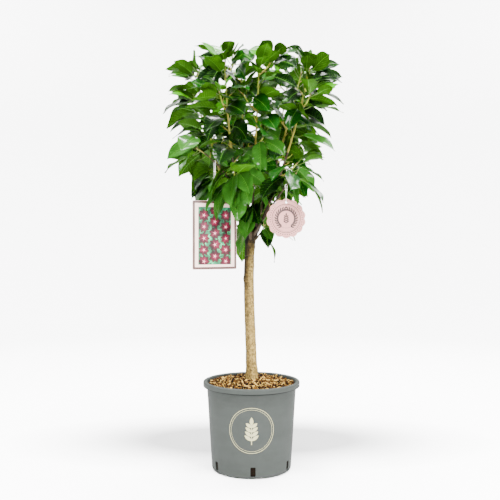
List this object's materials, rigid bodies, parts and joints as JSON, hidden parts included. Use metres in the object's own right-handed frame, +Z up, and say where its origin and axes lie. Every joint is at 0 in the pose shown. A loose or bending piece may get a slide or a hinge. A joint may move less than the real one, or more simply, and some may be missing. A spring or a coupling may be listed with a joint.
{
  "type": "potted dwarf cherry tree",
  "caption": "Young dwarf cherry tree on a clear stem, with a goblet of leafy boughs, in a round grey nursery pot topped with bark chips.",
  "frame": {"origin": "middle of the pot's flat underside", "axes": "+Z up along the trunk, -Y towards the side that the picture card faces, +X to that viewer's right"},
  "size_m": [0.454, 0.4464, 1.0518],
  "materials": {
    "pot": "matte grey moulded plastic",
    "soil": "moist dark potting soil",
    "bark_chips": "loose rough bark chips",
    "trunk_bark": "tan bark with fine pores",
    "bough_bark": "young brown bark",
    "card": "printed satin card",
    "tag": "matte pink card",
    "string": "twisted white thread",
    "leaf": "glossy dark green leaf"
  },
  "bodies": {
    "root": {"pot": "pot", "soil": "soil", "bark_chips": "bark_chips", "trunk": "trunk_bark", "bough_left": "bough_bark", "bough_front_left": "bough_bark", "bough_front": "bough_bark", "bough_front_right": "bough_bark", "bough_right": "bough_bark", "bough_back_right": "bough_bark", "bough_back": "bough_bark", "bough_back_left": "bough_bark", "bough_centre": "bough_bark", "bough_card": "bough_bark", "bough_tag": "bough_bark", "bough_low_front": "bough_bark", "bough_low_right": "bough_bark", "bough_low_back_right": "bough_bark", "bough_low_back": "bough_bark", "bough_low_back_left": "bough_bark", "bough_low_left": "bough_bark", "hang_card": "card", "card_string": "string", "hang_tag": "tag", "tag_string": "string", "foliage_left": "leaf", "foliage_front_left": "leaf", "foliage_front": "leaf", "foliage_front_right": "leaf", "foliage_right": "leaf", "foliage_back_right": "leaf", "foliage_back": "leaf", "foliage_back_left": "leaf", "foliage_centre": "leaf", "foliage_card": "leaf", "foliage_tag": "leaf", "foliage_low_front": "leaf", "foliage_low_right": "leaf", "foliage_low_back_right": "leaf", "foliage_low_back": "leaf", "foliage_low_back_left": "leaf", "foliage_low_left": "leaf"}
  },
  "joints": []
}
